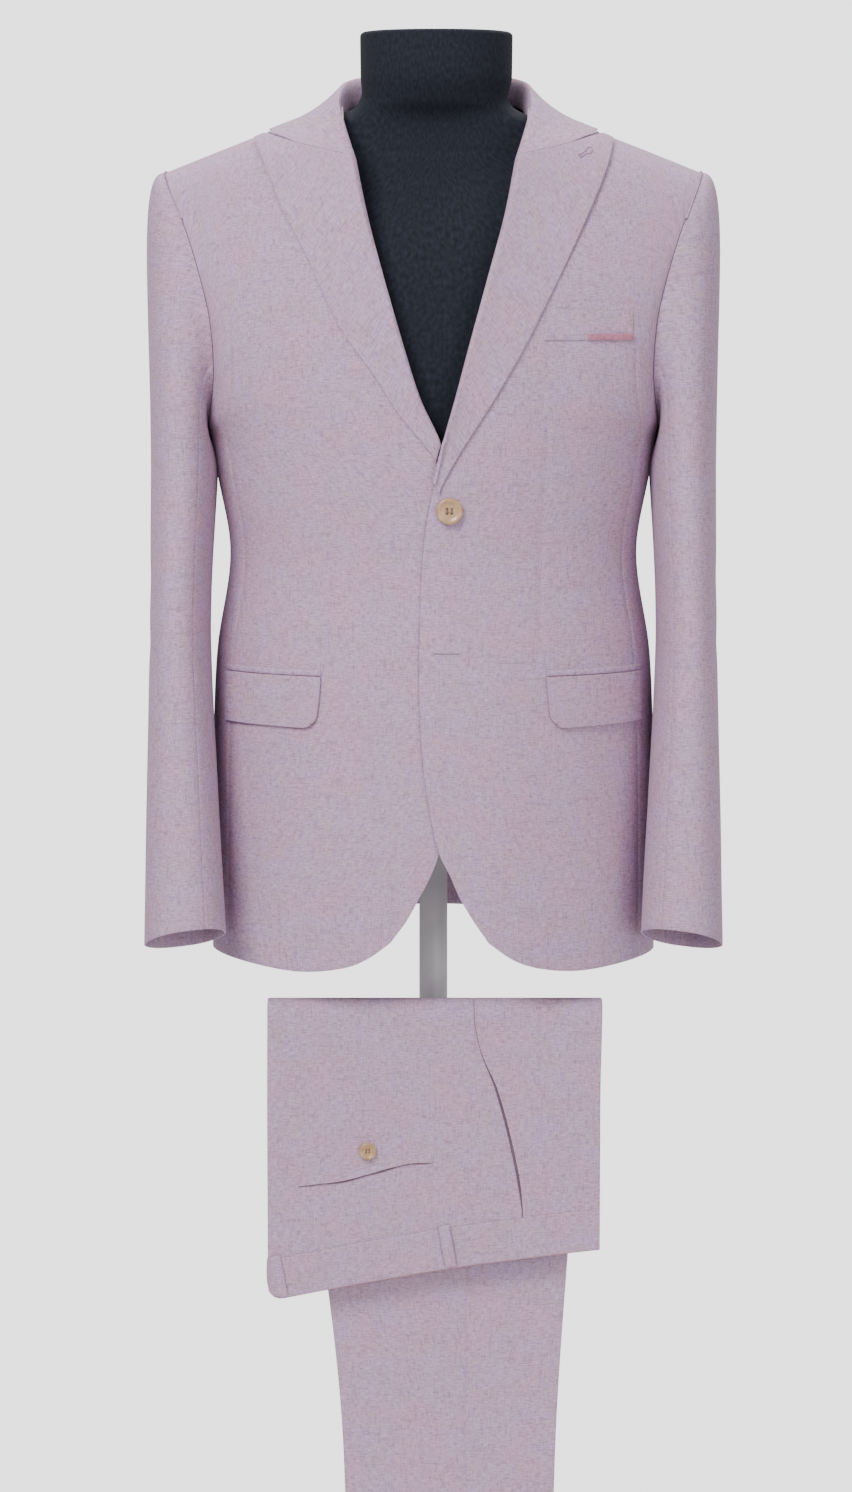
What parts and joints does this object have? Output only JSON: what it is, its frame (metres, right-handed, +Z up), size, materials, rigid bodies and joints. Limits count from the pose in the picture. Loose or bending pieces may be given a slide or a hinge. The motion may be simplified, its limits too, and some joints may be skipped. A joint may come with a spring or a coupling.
{
  "type": "two-piece suit on a dress form stand",
  "caption": "Peak-lapel jacket worn by a limbless dress form on a pole stand, with matching trousers folded over a rail below.",
  "frame": {"origin": "centre of the underside of the stand's round base, which stands on the floor", "axes": "+Z up; the wearer faces -Y; +X is the wearer's left, on the right as seen from the front"},
  "size_m": [0.5018, 0.38, 1.668],
  "materials": {
    "suiting": "matt melange weave",
    "contrast": "matt woven tape",
    "horn": "satin",
    "form": "stretched dark jersey",
    "stand": "satin"
  },
  "bodies": {
    "root": {"back_pocket_button": "horn", "back_pocket_welt": "suiting", "belt_loop_back": "suiting", "belt_loop_side": "suiting", "breast_tab": "contrast", "breast_welt": "suiting", "collar": "suiting", "dress_form": "form", "front_button": "horn", "jacket_back_left": "suiting", "jacket_back_right": "suiting", "jacket_front_left": "suiting", "jacket_front_right": "suiting", "lapel_left": "suiting", "lapel_right": "suiting", "pocket_flap_left": "suiting", "pocket_flap_right": "suiting", "pocket_jet_left": "suiting", "pocket_jet_right": "suiting", "sleeve_top_left": "suiting", "sleeve_top_right": "suiting", "sleeve_under_left": "suiting", "sleeve_under_right": "suiting", "stand_base": "stand", "stand_pole": "stand", "trouser_inner_layers": "suiting", "trouser_left_back": "suiting", "trouser_left_front": "suiting", "trouser_rail": "stand", "trouser_right_back": "suiting", "trouser_right_front": "suiting", "waistband": "suiting"}
  },
  "joints": []
}
